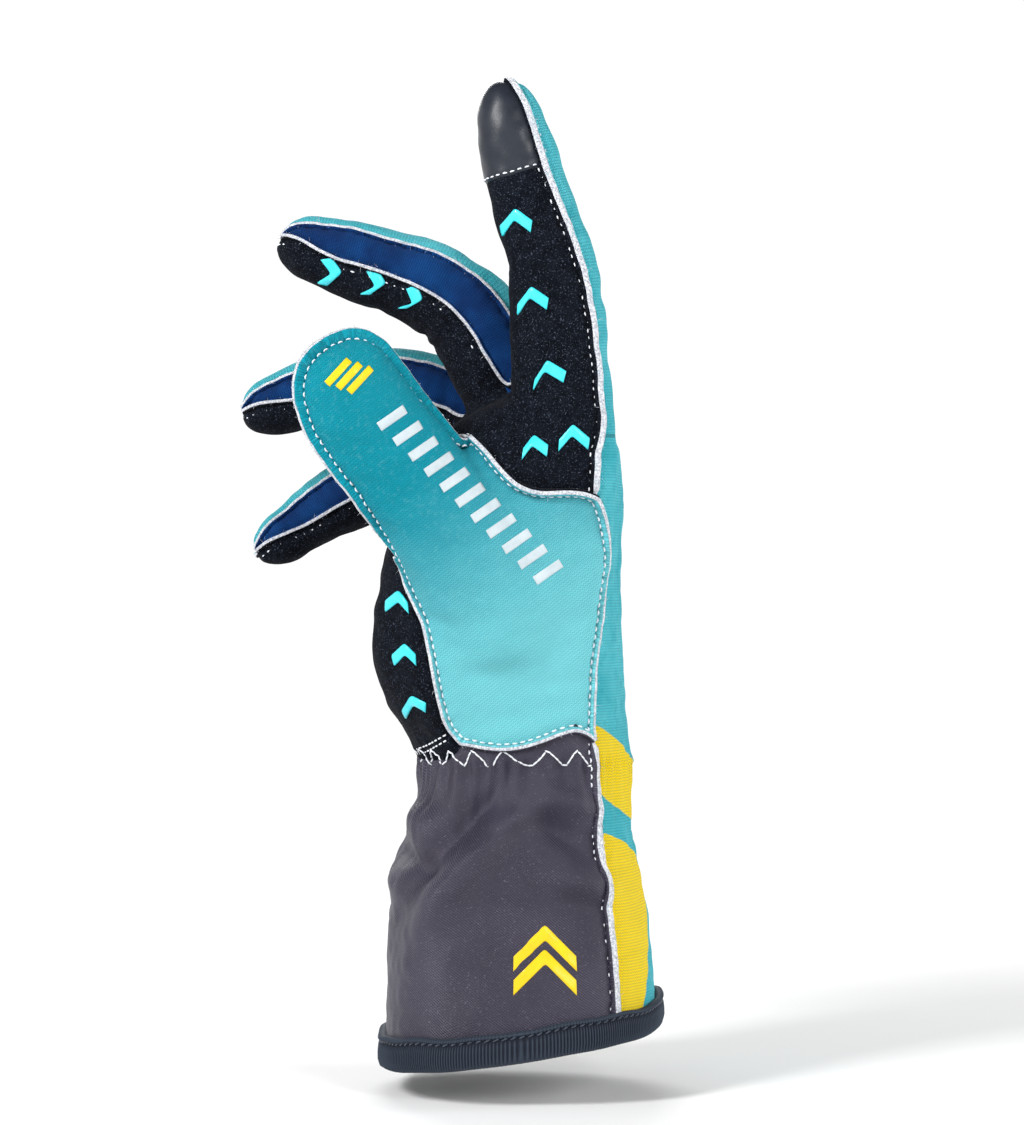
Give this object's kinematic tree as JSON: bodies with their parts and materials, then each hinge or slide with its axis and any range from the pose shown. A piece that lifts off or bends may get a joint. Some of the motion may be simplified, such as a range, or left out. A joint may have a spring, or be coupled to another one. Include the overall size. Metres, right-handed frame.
{
  "type": "sim racing glove",
  "caption": "Right-hand sim racing glove in worn form with a long gauntlet, suede palm and outside seams.",
  "frame": {"origin": "middle of the open cuff, where the hand goes in", "axes": "+Z from the cuff towards the index fingertip, +X towards the back of the hand, -Y towards the thumb"},
  "size_m": [0.1154, 0.1047, 0.2619],
  "materials": {
    "back_knit": "matte",
    "thumb_knit": "matte",
    "side_knit": "matte",
    "twill_knit": "matte",
    "suede": "matte",
    "patch": "satin",
    "tape": "matte",
    "seam_edge": "matte",
    "thread": "matte",
    "silicone": "gloss"
  },
  "bodies": {
    "root": {"back_panel": "back_knit", "palm_panel": "suede", "thumb_panel": "thumb_knit", "thumb_front": "suede", "fourchette_index_middle": "side_knit", "fourchette_middle_ring": "side_knit", "fourchette_ring_little": "side_knit", "gauntlet_panel": "twill_knit", "cuff_binding": "tape", "fingertip_patch": "patch", "seam_back": "seam_edge", "seam_index": "seam_edge", "seam_thumb_upper": "thumb_knit", "seam_thumb_lower": "seam_edge"}
  },
  "joints": []
}
